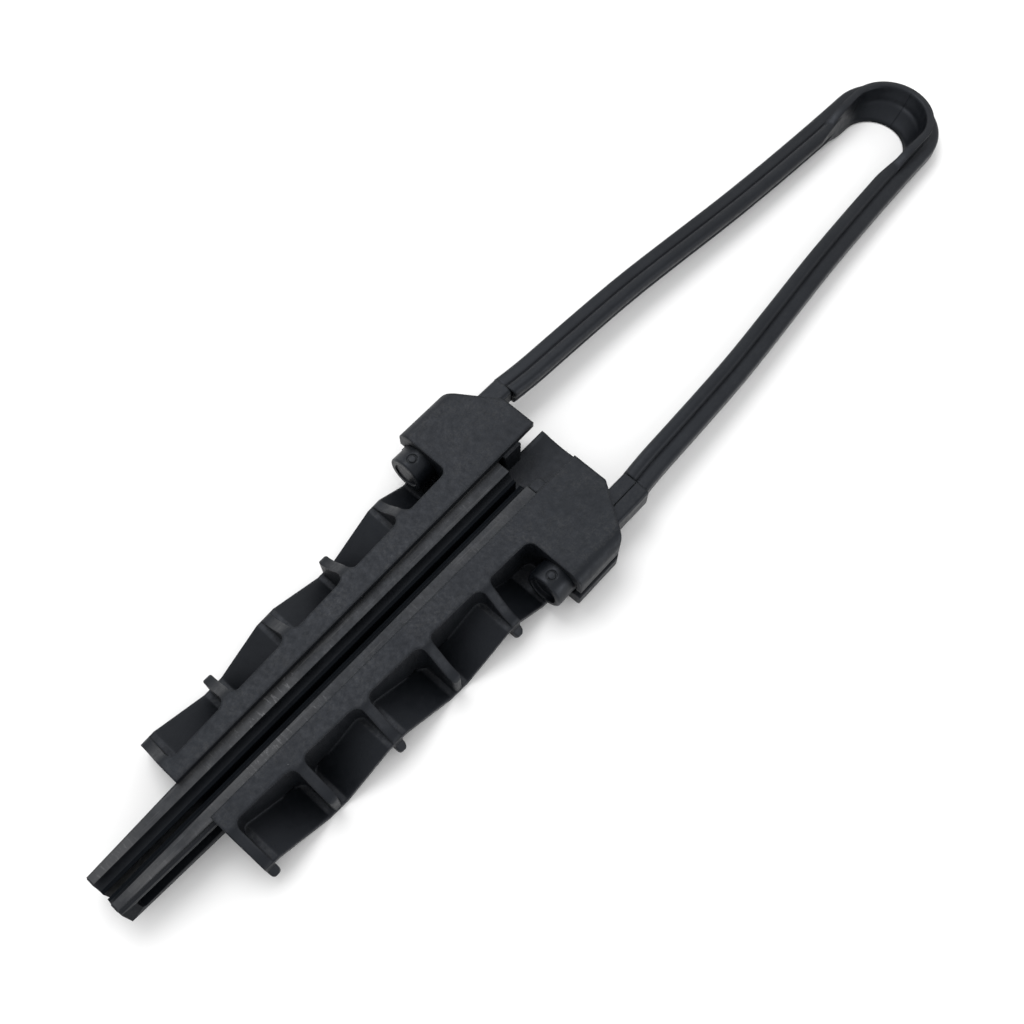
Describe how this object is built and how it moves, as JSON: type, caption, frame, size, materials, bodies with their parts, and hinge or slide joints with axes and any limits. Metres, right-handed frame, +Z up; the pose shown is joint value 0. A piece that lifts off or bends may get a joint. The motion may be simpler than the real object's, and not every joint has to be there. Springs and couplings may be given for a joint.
{
  "type": "anchor clamp",
  "caption": "Plastic anchor clamp for aerial fibre cable: ribbed wedge body, sliding wedges and a long covered wire bail with a saddle end.",
  "frame": {"origin": "on the surface that the clamp lies on, under the middle of its length and width", "axes": "+X along the cable from the wedge tips to the crown of the bail, +Y to the left, +Z up, cable slot facing up"},
  "size_m": [0.44, 0.086, 0.024],
  "materials": {
    "body_plastic": "matte, fine grain, glass-filled polyamide",
    "wedge_plastic": "matte, scuffed top",
    "cover_plastic": "satin",
    "cap_plastic": "satin",
    "rope_steel": "stranded, bright",
    "ferrule_steel": "pressed"
  },
  "bodies": {
    "body": {"clamp_body": "body_plastic"},
    "left_wedge": {"wedge_left": "wedge_plastic"},
    "right_wedge": {"wedge_right": "wedge_plastic"},
    "bail": {"bail_cover": "cover_plastic", "bail_rope": "rope_steel", "sleeve_right": "cap_plastic", "liner_left": "cap_plastic", "terminal_cap_left": "cap_plastic", "terminal_cap_right": "cap_plastic", "ferrule_left": "ferrule_steel", "ferrule_right": "ferrule_steel"}
  },
  "joints": [
    {"name": "wedge_left_slide", "type": "slide", "parent": "body", "child": "left_wedge", "axis": [0.9993, 0.0366, 0], "range_m": [-0.015, 0]},
    {"name": "wedge_right_slide", "type": "slide", "parent": "body", "child": "right_wedge", "axis": [0.9993, -0.0366, 0], "range_m": [-0.015, 0]},
    {"name": "bail_slide", "type": "slide", "parent": "body", "child": "bail", "axis": [1, 0, 0], "range_m": [-0.003, 0]}
  ]
}
